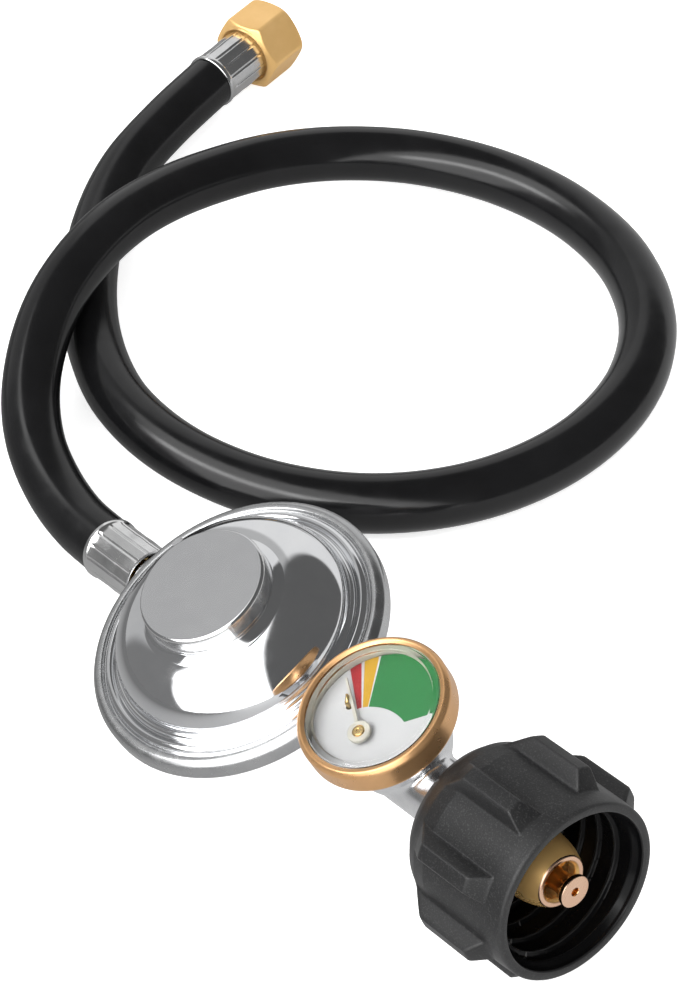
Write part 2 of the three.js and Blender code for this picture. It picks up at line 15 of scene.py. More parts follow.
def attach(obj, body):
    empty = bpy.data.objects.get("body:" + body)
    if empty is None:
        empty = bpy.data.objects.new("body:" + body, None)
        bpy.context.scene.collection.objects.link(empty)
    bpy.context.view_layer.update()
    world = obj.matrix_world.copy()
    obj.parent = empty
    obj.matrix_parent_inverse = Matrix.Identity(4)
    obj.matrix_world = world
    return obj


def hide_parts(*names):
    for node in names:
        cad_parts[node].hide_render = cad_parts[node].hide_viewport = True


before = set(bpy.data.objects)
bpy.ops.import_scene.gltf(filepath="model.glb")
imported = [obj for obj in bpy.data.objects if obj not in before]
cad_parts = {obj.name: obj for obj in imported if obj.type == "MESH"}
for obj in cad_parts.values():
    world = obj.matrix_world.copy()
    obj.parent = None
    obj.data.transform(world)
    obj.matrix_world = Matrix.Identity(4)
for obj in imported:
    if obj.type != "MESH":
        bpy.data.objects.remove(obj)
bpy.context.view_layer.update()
scene = bpy.context.scene
MM = 0.001
TURN = 2 * math.pi

# ---- Driving dimensions, as in the CAD ---------------------------------------------------------
NOSE_UP = math.radians(6.52)
ROLL = math.radians(19.3)
AXIS_HEIGHT = 13.88
CENTRE = (25.73, -2.38)
FLARE_HEADING = math.radians(12.7)

NECK_R = 11.6
DOME_R = 27.6
ARM_R = 7.55
STUB_R = 6.5
GAUGE_X = 51.4
GAUGE_Y = 2.2
POINTER_Y = -5.45
POINTER_REST = math.radians(149)
STOP_PIN = (-7.8, -2.1)
DIAL_Z = 15.4

NUT_BACK = 72.4
MOUTH_X = 106.4
NUT_R = 20.3
LUG_R = 24.0
LUGS = 8
LUG_PHASE = math.radians(40.5)
LUG_TOP = math.radians(4.2)
LUG_FOOT = math.radians(8.6)
THREAD_R = 16.9
THREAD_HEIGHT = 0.9
THREAD_PITCH = 5.08
THREAD_HALF_WIDTH = 0.75
THREAD_BOTTOM = 84.9
LUG_BACK = NUT_BACK + 7.4
LUG_RAMP_BACK = 4.8
LUG_RAMP_FRONT = 3.0

HOSE_R = 7.15
FERRULE_END = -56.0
FERRULE_LENGTH = 17.0
FAR_FERRULE_LENGTH = 15.8
FLUTES = 14
FERRULE_R = 7.55
FLARE_AF = 19.05
FLARE_START = 14.6
FLARE_END = 28.0
FLARE_THREAD_R = 7.5
FLARE_THREAD_DEPTH = 0.42
FLARE_THREAD_PITCH = 1.41

# The hose's middle line from the regulator to its flare end.
ROUTE = [
    (-55.6, 0, 7.55), (-68, 0.3, 7.2), (-81, 2.5, 8), (-94.2, 6.9, 10.2), (-106.2, 14.2, 13.3),
    (-116.6, 24.4, 16.9), (-124.9, 36.5, 20.3), (-131, 50, 22.3), (-135.9, 65, 22.3), (-139, 80.7, 20.2),
    (-139.7, 97.3, 17.2), (-137.3, 114.5, 14.2), (-129.9, 131.2, 11.4), (-116.6, 146.3, 9),
    (-97.3, 157, 7.4),
    (-73.7, 160.6, 7.2), (-49, 156.6, 7.2), (-27.2, 144.1, 7.2), (-12.3, 124.4, 7.2), (-6.6, 100.5, 7.2),
    (-10.8, 76.2, 7.2), (-24.2, 55, 7.2), (-45, 39.8, 7.2), (-70, 32.2, 7.2), (-95.3, 32.8, 7.2),
    (-119.2, 41.7, 7.2), (-140, 55.6, 7.2), (-156.8, 71.6, 7.5), (-168.6, 89.1, 8.6), (-176, 107.9, 9.4),
    (-182, 127.2, 9.6),
]
HOSE_GAP = 0.3  # between the hose's end and the ferrule's mouth


def at(x, y, z):
    return Matrix.Translation((x * MM, y * MM, z * MM))


# ---- Frames that the pieces are made in --------------------------------------------------------
REGULATOR = (
    at(-CENTRE[0], -CENTRE[1], AXIS_HEIGHT)
    @ Matrix.Rotation(-NOSE_UP, 4, "Y")
    @ Matrix.Rotation(ROLL, 4, "X")
)
ALONG_X = Matrix.Rotation(math.pi / 2, 4, "Y")  # turns a piece made about Z to lie along X
LINE = REGULATOR @ ALONG_X
GAUGE = REGULATOR @ at(GAUGE_X, GAUGE_Y, 0)
FAR_END = (
    at(ROUTE[-1][0] - CENTRE[0], ROUTE[-1][1] - CENTRE[1], FLARE_AF / 2 + 0.05)
    @ Matrix.Rotation(FLARE_HEADING, 4, "Z")
    @ Matrix.Rotation(-math.pi / 2, 4, "X")
)


# ---- Camera ------------------------------------------------------------------------------------
CAMERA_PLACE = Vector((0.38937, -0.26412, 0.5198))
CAMERA_AZIMUTH = math.radians(54.7)
CAMERA_ELEVATION = math.radians(43.0)
CAMERA_ROLL = math.radians(-5.8)
CAMERA_LENS = 117.19


def make_camera():
    data = bpy.data.cameras.new("Camera")
    data.lens = CAMERA_LENS
    data.sensor_width = 36
    data.clip_start = 0.01
    back = Vector((
        math.sin(CAMERA_AZIMUTH) * math.cos(CAMERA_ELEVATION),
        -math.cos(CAMERA_AZIMUTH) * math.cos(CAMERA_ELEVATION),
        math.sin(CAMERA_ELEVATION),
    ))
    level = Vector((0, 0, 1)).cross(back).normalized()
    upright = back.cross(level)
    right = level * math.cos(CAMERA_ROLL) + upright * math.sin(CAMERA_ROLL)
    up = upright * math.cos(CAMERA_ROLL) - level * math.sin(CAMERA_ROLL)
    camera = bpy.data.objects.new("Camera", data)
    camera.matrix_world = Matrix.Translation(CAMERA_PLACE) @ Matrix((right, up, back)).transposed().to_4x4()
    scene.collection.objects.link(camera)
    scene.camera = camera


make_camera()


def grey(value):
    return (value, value, value)


# ---- Node helpers ------------------------------------------------------------------------------
class Nodes:
    """Adds nodes to a tree and returns their output sockets."""

    def __init__(self, tree):
        self.tree = tree

    def add(self, kind, inputs=(), **settings):
        node = self.tree.nodes.new(kind)
        for key, value in settings.items():
            setattr(node, key, value)
        for key, value in dict(inputs).items():
            if isinstance(value, bpy.types.NodeSocket):
                self.tree.links.new(value, node.inputs[key])
            else:
                node.inputs[key].default_value = value
        return node

    def math(self, operation, a, b=0.0):
        return self.add("ShaderNodeMath", {0: a, 1: b}, operation=operation).outputs[0]

    def clamp_range(self, value, low, high, to_low=0.0, to_high=1.0, smooth=False):
        kind = "SMOOTHSTEP" if smooth else "LINEAR"
        inputs = {"Value": value, "From Min": low, "From Max": high, "To Min": to_low, "To Max": to_high}
        return self.add("ShaderNodeMapRange", inputs, interpolation_type=kind).outputs[0]

    def noise(self, place, scale, detail=2.0, roughness=0.5):
        inputs = {"Vector": place, "Scale": scale, "Detail": detail, "Roughness": roughness}
        return self.add("ShaderNodeTexNoise", inputs).outputs["Fac"]

    def mix(self, share, a, b):
        node = self.add("ShaderNodeMix", data_type="RGBA")
        for index, value in ((0, share), (6, a), (7, b)):
            if isinstance(value, bpy.types.NodeSocket):
                self.tree.links.new(value, node.inputs[index])
            elif index == 0:
                node.inputs[index].default_value = value
            else:
                node.inputs[index].default_value = (*value, 1)
        return node.outputs[2]

    def dot(self, a, direction):
        node = self.add("ShaderNodeVectorMath", {0: a, 1: direction}, operation="DOT_PRODUCT")
        return node.outputs["Value"]

    def stretch(self, place, scale):
        return self.add("ShaderNodeVectorMath", {0: place, 1: scale}, operation="MULTIPLY").outputs[0]


def finish(
    name, colours, rough, patch=90, grain=(3000, 0.002), metallic=0.0, ripple=None, scratches=None,
    edges=None, paint=None, speckle=None, **sockets,
):
    """A surface whose colour and roughness drift in patches, with a fine grain.

    grain and ripple are (bumps per metre, depth in mm).
    scratches is (bumps per metre each way, depth in mm).
    edges is the colour that raised edges wear to, and speckle is (dots per metre, their colour).
    paint(nodes, place, colour) may draw on the colour.
    """
    material = bpy.data.materials.new(name)
    material.use_nodes = True
    nodes = Nodes(material.node_tree)
    shader = material.node_tree.nodes["Principled BSDF"]
    place = nodes.add("ShaderNodeTexCoord").outputs["Object"]
    drift = nodes.noise(place, patch, 4.0, 0.6)
    spread = nodes.clamp_range(drift, 0.3, 0.7)
    colour = nodes.mix(spread, *colours)
    if paint:
        colour = paint(nodes, place, colour)
    if speckle:
        dots = nodes.clamp_range(nodes.noise(place, speckle[0], 1.0), 0.56, 0.7)
        colour = nodes.mix(dots, colour, speckle[1])
    if edges:
        point = nodes.add("ShaderNodeNewGeometry").outputs["Pointiness"]
        worn = nodes.clamp_range(point, 0.52, 0.6)
        colour = nodes.mix(nodes.math("MULTIPLY", worn, 0.8), colour, edges)
    shine = nodes.clamp_range(nodes.noise(place, patch * 3.1, 3.0), 0.3, 0.7, *rough)
    height = nodes.math("MULTIPLY", nodes.noise(place, grain[0], 2.0), grain[1])
    if ripple:
        wave = nodes.math("MULTIPLY", nodes.noise(place, ripple[0], 1.0), ripple[1])
        height = nodes.math("ADD", height, wave)
    if scratches:
        drawn = nodes.noise(nodes.stretch(place, scratches[0]), 1.0, 3.0)
        marks = nodes.math("MULTIPLY", nodes.clamp_range(drawn, 0.45, 0.75), scratches[1])
        height = nodes.math("ADD", height, marks)
    bump = nodes.add("ShaderNodeBump", {"Height": height, "Distance": MM, "Strength": 1.0})
    links = material.node_tree.links
    links.new(colour, shader.inputs["Base Color"])
    links.new(shine, shader.inputs["Roughness"])
    links.new(bump.outputs[0], shader.inputs["Normal"])
    shader.inputs["Metallic"].default_value = metallic
    for key, value in sockets.items():
        shader.inputs[key.replace("_", " ")].default_value = value
    return material


# ---- Materials ---------------------------------------------------------------------------------
CHROME = finish(
    "polished_chrome", ((0.83, 0.84, 0.86), (0.9, 0.905, 0.915)), (0.05, 0.1), metallic=1.0,
    grain=(2600, 0.0006), ripple=(160, 0.01),
)
RIM = finish(
    "satin_rim", ((0.47, 0.475, 0.48), (0.57, 0.575, 0.58)), (0.2, 0.3), metallic=1.0,
    grain=(2600, 0.0015), ripple=(160, 0.012),
)
CAP_TOP = finish(
    "cap_top", ((0.76, 0.765, 0.78), (0.8, 0.805, 0.815)), (0.11, 0.15), metallic=1.0, grain=(300, 0.002),
)
CAP_WALL = finish(
    "cap_wall", ((0.78, 0.78, 0.78), (0.93, 0.93, 0.93)), (0.1, 0.3), metallic=1.0, grain=(2600, 0.004),
    scratches=((900, 900, 140), 0.02),
)
FERRULE = finish(
    "crimped_chrome", ((0.75, 0.755, 0.76), (0.9, 0.9, 0.9)), (0.12, 0.24), metallic=1.0,
    grain=(1800, 0.003),
    ripple=(300, 0.03),
)
CAST = finish(
    "die_cast_zinc", ((0.7, 0.705, 0.72), (0.86, 0.865, 0.875)), (0.14, 0.28), metallic=1.0,
    grain=(1500, 0.006), ripple=(190, 0.09),
)
HOSE = finish(
    "hose_rubber", ((0.0035, 0.0035, 0.0038), (0.006, 0.006, 0.0064)), (0.15, 0.23), patch=60,
    grain=(2200, 0.001), ripple=(150, 0.03), Specular_IOR_Level=0.42,
)
NUT_OUTSIDE = finish(
    "nut_grain", ((0.008, 0.008, 0.0084), (0.012, 0.012, 0.0124)), (0.38, 0.48), patch=45,
    grain=(2300, 0.035), edges=(0.05, 0.05, 0.05), speckle=(3000, (0.03, 0.03, 0.03)),
    Specular_IOR_Level=0.38,
)
# The hand nut's bore is the same black plastic as its outside, painted darker and with its reflection turned
# down: painted shade inside the nut.
NUT_BORE_SHADED = finish(
    "nut_bore_painted_shade", ((0.002, 0.002, 0.0022), (0.003, 0.003, 0.0033)), (0.2, 0.28), grain=(1500, 0.002),
    edges=(0.07, 0.07, 0.07), Specular_IOR_Level=0.1,
)
BEZEL = finish(
    "golden_bezel", ((0.62, 0.35, 0.16), (0.72, 0.42, 0.2)), (0.26, 0.34), metallic=0.85,
    grain=(2200, 0.003), ripple=(200, 0.02),
)
FLARE = finish(
    "flare_brass", ((0.8, 0.49, 0.18), (0.88, 0.56, 0.23)), (0.3, 0.4), metallic=0.6,
    grain=(1800, 0.004), ripple=(260, 0.03),
)
NIPPLE = finish(
    "turned_brass", ((0.9, 0.55, 0.19), (0.95, 0.61, 0.24)), (0.26, 0.32), patch=30, metallic=0.7,
    grain=(2600, 0.001), scratches=((2600, 60, 60), 0.002),
)
COPPER = finish(
    "pink_copper", ((0.8, 0.5, 0.34), (0.88, 0.6, 0.43)), (0.22, 0.32), metallic=1.0,
    grain=(2600, 0.0015),
)
PROBE = finish(
    "probe_brass", ((0.62, 0.36, 0.14), (0.74, 0.45, 0.19)), (0.14, 0.24), metallic=1.0,
    grain=(2600, 0.0015),
)
BRASS = finish(
    "plain_brass", ((0.6, 0.42, 0.17), (0.72, 0.53, 0.24)), (0.24, 0.36), metallic=1.0,
    grain=(2000, 0.003), ripple=(400, 0.01),
)
STEEL = finish(
    "plain_steel", ((0.5, 0.5, 0.51), (0.64, 0.64, 0.65)), (0.26, 0.38), metallic=1.0,
    grain=(2200, 0.003), scratches=((2600, 300, 2600), 0.003),
)
RUBBER = finish(
    "black_rubber", ((0.015, 0.015, 0.016), (0.026, 0.026, 0.027)), (0.5, 0.65), grain=(1600, 0.01),
)
PLASTIC = finish(
    "black_plastic", ((0.018, 0.018, 0.019), (0.028, 0.028, 0.029)), (0.4, 0.5), grain=(2600, 0.012),
)
CREAM = finish(
    "cream_pointer", ((0.4, 0.385, 0.33), (0.44, 0.425, 0.37)), (0.35, 0.45), grain=(1600, 0.002),
    Specular_IOR_Level=0.2,
)
GASKET = finish(
    "cream_gasket", ((0.44, 0.42, 0.35), (0.5, 0.48, 0.41)), (0.3, 0.4), grain=(1600, 0.002),
    Specular_IOR_Level=0.3,
)

# Dial: zones between two angles and two radii about the pointer's spindle.
DIAL_WHITE = ((0.41, 0.412, 0.416), (0.435, 0.437, 0.44))
ZONES = [
    (137.5, 145.9, (0.28, 0.012, 0.016)),
    (125.5, 135.3, (0.42, 0.24, 0.014)),
    (52.0, 124.1, (0.015, 0.135, 0.035)),
]
ZONE_INNER = 6.9
ZONE_OUTER = 24.0


def paint_zones(nodes, place, colour):
    split = nodes.add("ShaderNodeSeparateXYZ", {0: place})
    across = split.outputs[0]
    upward = nodes.math("SUBTRACT", split.outputs[1], POINTER_Y * MM)
    angle = nodes.math("DEGREES", nodes.math("ARCTAN2", upward, across))
    squares = nodes.math(
        "ADD", nodes.math("MULTIPLY", across, across), nodes.math("MULTIPLY", upward, upward),
    )
    radius = nodes.math("SQRT", squares)
    # The green zone's inner edge swings out towards its right end.
    swing = nodes.clamp_range(angle, 52.0, 124.0, 1.0, 0.0)
    drop = nodes.math("MULTIPLY", nodes.math("MULTIPLY", swing, swing), 2.6 * MM)
    inner = nodes.math("ADD", drop, ZONE_INNER * MM)
    inside = nodes.math("GREATER_THAN", radius, inner)
    for low, high, ink in ZONES:
        above = nodes.math("GREATER_THAN", angle, low)
        below = nodes.math("LESS_THAN", angle, high)
        share = nodes.math("MULTIPLY", nodes.math("MULTIPLY", above, below), inside)
        colour = nodes.mix(share, colour, ink)
    return colour


DIAL = finish(
    "printed_dial", DIAL_WHITE, (0.32, 0.42), grain=(1400, 0.002), paint=paint_zones, Specular_IOR_Level=0.2,
)


def make_lens():
    material = finish(
        "clear_lens", ((0.97, 0.975, 0.975), (0.99, 0.99, 0.99)), (0.01, 0.05), grain=(300, 0.002),
        Transmission_Weight=1.0, IOR=1.4,
    )
    nodes = Nodes(material.node_tree)
    shader = material.node_tree.nodes["Principled BSDF"]
    clear = nodes.add("ShaderNodeBsdfTransparent").outputs[0]
    shadow = nodes.add("ShaderNodeLightPath").outputs["Is Shadow Ray"]
    both = nodes.add("ShaderNodeMixShader", {0: shadow, 1: shader.outputs[0], 2: clear}).outputs[0]
    material.node_tree.links.new(both, material.node_tree.nodes["Material Output"].inputs["Surface"])
    return material


LENS = make_lens()


# ---- Mesh helpers ------------------------------------------------------------------------------
def mesh_object(name, vertices, faces, place=None):
    """vertices are in mm. place turns or moves the mesh within the frame it is made in."""
    mesh = bpy.data.meshes.new(name)
    mesh.from_pydata([tuple(v) for v in np.asarray(vertices, float) * MM], [], faces)
    if place:
        mesh.transform(place)
    work = bmesh.new()
    work.from_mesh(mesh)
    bmesh.ops.recalc_face_normals(work, faces=work.faces)
    work.to_mesh(mesh)
    work.free()
    piece = bpy.data.objects.new(name, mesh)
    scene.collection.objects.link(piece)
    return piece


def rounded(profile, steps=4):
    """A closed profile of (radius, along) points, where a third number rounds that corner."""
    points = []
    for i, corner in enumerate(profile):
        here = np.array(corner[:2], float)
        if len(corner) < 3:
            points.append(tuple(here))
            continue
        before = np.array(profile[i - 1][:2], float) - here
        after = np.array(profile[(i + 1) % len(profile)][:2], float) - here
        reach = min(corner[2], 0.48 * np.linalg.norm(before), 0.48 * np.linalg.norm(after))
        start = here + before / np.linalg.norm(before) * reach
        end = here + after / np.linalg.norm(after) * reach
        for t in np.linspace(0, 1, steps + 1):
            points.append(tuple((1 - t) ** 2 * start + 2 * t * (1 - t) * here + t ** 2 * end))
    return points


def ringed(name, rings, count, place=None):
    """A closed surface about Z through rings of (radius or radii, along), the last joined to the first."""
    angles = np.arange(count) * TURN / count
    vertices = []
    starts = []
    for radius, height in rings:
        starts.append(len(vertices))
        if np.ndim(radius) == 0 and radius < 1e-6:
            vertices.append((0, 0, height))
            continue
        radii = np.broadcast_to(radius, count)
        vertices.extend(zip(radii * np.cos(angles), radii * np.sin(angles), np.broadcast_to(height, count)))
    sizes = [b - a for a, b in zip(starts, starts[1:] + [len(vertices)])]
    faces = []
    for i in range(len(rings)):
        j = (i + 1) % len(rings)
        a, b = starts[i], starts[j]
        for k in range(count):
            n = (k + 1) % count
            if sizes[i] > 1 and sizes[j] > 1:
                faces.append((a + k, a + n, b + n, b + k))
            elif sizes[j] > 1:
                faces.append((a, b + n, b + k))
            elif sizes[i] > 1:
                faces.append((a + k, a + n, b))
    return mesh_object(name, vertices, faces, place)


def turned(name, profile, count=128, place=None, steps=4):
    return ringed(name, rounded(profile, steps), count, place)


def tube(inner, outer, low, high):
    return [(inner, low), (outer, low), (outer, high), (inner, high)]


def rod(radius, low, high):
    return tube(0, radius, low, high)


def box(name, x, y, z, place=None):
    corners = [(i, j, k) for i in x for j in y for k in z]
    faces = [(0, 1, 3, 2), (4, 6, 7, 5), (0, 4, 5, 1), (2, 3, 7, 6), (0, 2, 6, 4), (1, 5, 7, 3)]
    return mesh_object(name, corners, faces, place)


def apply_modifiers(piece):
    graph = bpy.context.evaluated_depsgraph_get()
    mesh = bpy.data.meshes.new_from_object(piece.evaluated_get(graph))
    piece.modifiers.clear()
    piece.data = mesh


def combine(piece, others, operation):
    for other in others:
        change = piece.modifiers.new("change", "BOOLEAN")
        change.operation = operation
        change.object = other
        change.solver = "MANIFOLD"
    apply_modifiers(piece)
    for other in others:
        bpy.data.objects.remove(other)
    return piece


def smooth(piece, sharp=38):
    piece.data.shade_smooth()
    piece.data.set_sharp_from_angle(angle=math.radians(sharp))
    weigh = piece.modifiers.new("weighted", "WEIGHTED_NORMAL")
    weigh.keep_sharp = True
    weigh.weight = 80


def settle(piece, home, body, materials, nodes, pick=None, sharp=38, keep_frame=False):
    """Puts a finished piece in its frame, on its body, in place of its CAD nodes.

    keep_frame leaves the piece's own axes as they are, for a finish that is drawn along them.
    pick(x, y, z) gives the material's number for a face from its middle in mm, in the piece's own frame.
    """
    piece.data.materials.clear()
    for material in materials:
        piece.data.materials.append(material)
    for face in piece.data.polygons:
        face.material_index = pick(*(face.center / MM)) if pick else 0
    smooth(piece, sharp)
    if keep_frame:
        piece.matrix_world = home
    else:
        piece.data.transform(home)
    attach(piece, body)
    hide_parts(*nodes)


# ---- Hose --------------------------------------------------------------------------------------
def between(a, b, low, high, t):
    return ((high - t) * a + (t - low) * b) / (high - low)


def centripetal(points, per_span=8):
    """Points along a centripetal Catmull-Rom curve through the given ones."""
    p = [np.array(q, float) for q in points]
    p = [2 * p[0] - p[1]] + p + [2 * p[-1] - p[-2]]
    out = []
    for i in range(1, len(p) - 2):
        a, b, c, d = p[i - 1:i + 3]
        k0 = 0.0
        k1 = k0 + math.sqrt(np.linalg.norm(b - a))
        k2 = k1 + math.sqrt(np.linalg.norm(c - b))
        k3 = k2 + math.sqrt(np.linalg.norm(d - c))
        for t in np.linspace(k1, k2, per_span + 1)[:-1]:
            first = between(a, b, k0, k1, t)
            second = between(b, c, k1, k2, t)
            third = between(c, d, k2, k3, t)
            lower = between(first, second, k0, k2, t)
            upper = between(second, third, k1, k3, t)
            out.append(between(lower, upper, k1, k2, t))
    out.append(p[-2])
    return out


def make_hose():
    line = centripetal(ROUTE)
    for end, inner in ((0, 1), (-1, -2)):
        inwards = line[inner] - line[end]
        line[end] = line[end] + inwards / np.linalg.norm(inwards) * HOSE_GAP
    curve = bpy.data.curves.new("hose_tube", "CURVE")
    curve.dimensions = "3D"
    curve.bevel_depth = HOSE_R * MM
    curve.bevel_resolution = 10
    curve.use_fill_caps = True
    spline = curve.splines.new("POLY")
    spline.points.add(len(line) - 1)
    for point, (x, y, z) in zip(spline.points, line):
        point.co = ((x - CENTRE[0]) * MM, (y - CENTRE[1]) * MM, z * MM, 1)
    spline.use_smooth = True
    curve.materials.append(HOSE)
    piece = bpy.data.objects.new("hose_tube", curve)
    scene.collection.objects.link(piece)
    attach(piece, "regulator")
    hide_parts("hose")
    length = sum(np.linalg.norm(b - a) for a, b in zip(line, line[1:]))
    return piece, length


hose, hose_length = make_hose()


def ferrule_rings(length):
    """A crimped sleeve from its plain rim at 0, with flat flutes and a narrow groove between each two."""
    count = FLUTES * 20
    share = (np.arange(count) / 20) % 1.0
    aside = np.minimum(share, 1 - share)
    flat = 7.34 * math.cos(math.pi / FLUTES) / np.cos((share - 0.5) * TURN / FLUTES)
    groove = 0.34 * np.exp(-((aside / 0.085) ** 2))
    fluted = flat - groove
    rings = [
        (6.2, 0.3), (6.45, 0), (7.25, 0), (7.45, 0.08), (FERRULE_R, 0.3), (FERRULE_R, 1.0),
        (7.5, 1.25), (7.4, 1.45),
    ]
    for z, depth in ((1.8, 0.3), (2.4, 0.75), (3.2, 0.95), (4.5, 1.0)):
        rings.append((7.38 * (1 - depth) + fluted * depth, z))
    for z in np.linspace(6, length - 3.4, 8):
        dent = 0.05 * math.sin(z * 1.1)
        rings.append((fluted - dent, z))
    rings += [(fluted, length - 1.6), (fluted, length - 0.5), (fluted * 0.2 + 5.75, length - 0.12)]
    rings += [(6.9, length), (6.4, length), (6.2, length - 0.2)]
    return rings, count


def make_ferrules():
    rings, count = ferrule_rings(FERRULE_LENGTH)
    near = ringed("outlet_ferrule_crimped", rings, count, at(0, 0, FERRULE_END))
    settle(near, LINE, "regulator", [FERRULE], ["outlet_ferrule"], sharp=50)
    rings, count = ferrule_rings(FAR_FERRULE_LENGTH)
    far = ringed("far_ferrule_crimped", rings, count)
    settle(far, FAR_END, "regulator", [FERRULE], ["far_ferrule"], sharp=50)
    return far


far_ferrule = make_ferrules()


# ---- Flare nut ---------------------------------------------------------------------------------
def soft_min(a, b, width):
    h = np.maximum(width - np.abs(a - b), 0) / width
    return np.minimum(a, b) - h * h * width / 4


def soft_max(a, b, width):
    return -soft_min(-a, -b, width)


def make_flare_nut():
    count = 360
    angles = np.arange(count) * TURN / count
    folded = (angles + 1e-9) % (TURN / 6) - TURN / 12
    face = FLARE_AF / 2 / np.cos(folded)
    hexagon = face - 0.2 * np.exp(-((np.abs(folded) - TURN / 12) / 0.035) ** 2)
    low, high = FLARE_START, FLARE_END
    rings = [(7.9, low + 1.4), (7.9, low + 0.2), (8.1, low)]
    for z in list(np.linspace(low, low + 2.4, 14)) + list(np.linspace(low + 2.8, high - 3.6, 12)):
        cone = 9.05 + (z - low) * 1.35
        rings.append((soft_min(hexagon, np.full(count, cone), 0.5), z))
    for z in np.linspace(high - 3.4, high - 0.1, 24):
        fall = high - z
        crown = 9.0 + 2.3 * math.sqrt(max(0.0, 1 - (1 - min(fall, 3.2) / 3.2) ** 2))
        rings.append((soft_min(hexagon, np.full(count, crown), 0.6), z))
    rings += [(8.75, high), (8.1, high), (7.75, high - 0.1), (7.55, high - 0.4)]
    for z in np.linspace(high - 0.9, high - 7.6, 60):
        ridge = 0.5 - 0.5 * np.cos((z / FLARE_THREAD_PITCH) * TURN - angles)
        fade = min(1.0, (high - 0.9 - z) / 0.8, (z - (high - 7.6)) / 0.8)
        rings.append((FLARE_THREAD_R - FLARE_THREAD_DEPTH * ridge * fade, z))
    rings += [(7.3, low + 5.2), (4.95, low + 3.5), (4.95, low + 2.2), (7.7, low + 1.6)]
    piece = ringed("flare_nut_rounded", rings, count)
    settle(piece, FAR_END, "flare_nut", [FLARE], ["flare_nut"], sharp=50)
    return piece


flare_nut = make_flare_nut()


# ---- Bonnet ------------------------------------------------------------------------------------
VENT_AZIMUTH = math.radians(164)


def dome_height(r):
    across = (r - NECK_R) / (DOME_R - NECK_R)
    return 11.2 + 10.6 * math.sqrt(max(0.0, 1 - across ** 2.6))


def make_bonnet():
    outer = [(r, dome_height(r)) for r in (27.55, *np.linspace(27.4, 16.9, 44))]
    fillet = [(16.3, dome_height(16.3)), (15.6, 22.2), (15.1, 22.5), (14.85, 22.84, 0.1), (14.2, 22.84)]
    inner = [(r - 0.9, dome_height(r) - 1.2) for r in np.linspace(13.4, 27.2, 20)]
    profile = [
        (26.4, 9.3), (33.6, 9.3), (33.6, 5.6), (31.4, 5.6, 0.3), (31.4, 4.9, 0.3), (34.2, 4.9, 0.4),
        (35, 5.6, 0.6),
        (35, 9.2, 1.2), (33.7, 10.35, 0.9), (32.3, 10.3, 0.3), (32.0, 9.75, 0.3), (31.5, 9.75, 0.3),
        (31.25, 10.5, 0.35), (30.6, 10.95, 0.6), (29.8, 10.95, 0.6), (29.15, 10.35, 0.35),
        (28.75, 10.25, 0.3),
        (28.6, 11.1, 0.4), (28.1, 11.55, 0.4), (27.7, 11.45, 0.2),
        *outer, *fillet, (14.2, 22.2), (NECK_R, 22.2), (NECK_R, 23.6), (9.9, 23.6), (9.9, 18.4),
        (11.4, 18.4), *inner,
    ]
    piece = turned("bonnet_pressed", profile, 256)
    vent_spot = Matrix.Rotation(VENT_AZIMUTH, 4, "Z") @ at(24.2, 0, 14)
    vent = turned("vent_cut", rod(1.8, -4, 9), 48, vent_spot)
    arm = turned("arm_cut", rod(ARM_R + 0.3, 25, 40), 96, ALONG_X)
    stub = turned("stub_cut", rod(STUB_R + 0.3, -40, -25), 96, ALONG_X)
    combine(piece, [vent, arm, stub], "DIFFERENCE")

    def pick(x, y, z):
        return 1 if math.hypot(x, y) > 31.9 else 0

    settle(piece, REGULATOR, "regulator", [CHROME, RIM], ["bonnet"], pick, sharp=45)


make_bonnet()


def make_cap():
    profile = [
        (11.9, 22.9), (14.4, 22.9, 0.3), (14.7, 23.4, 0.3), (14.7, 27.35, 0.3), (14.3, 27.8, 0.35),
        (0, 27.8),
        (0, 26), (11.9, 26),
    ]
    piece = turned("bonnet_cap_turned", profile, 192)

    def pick(x, y, z):
        return 0 if z > 27.6 else 1

    settle(
        piece, REGULATOR, "regulator", [CAP_TOP, CAP_WALL], ["bonnet_cap"], pick,
        keep_frame=True,
    )


make_cap()


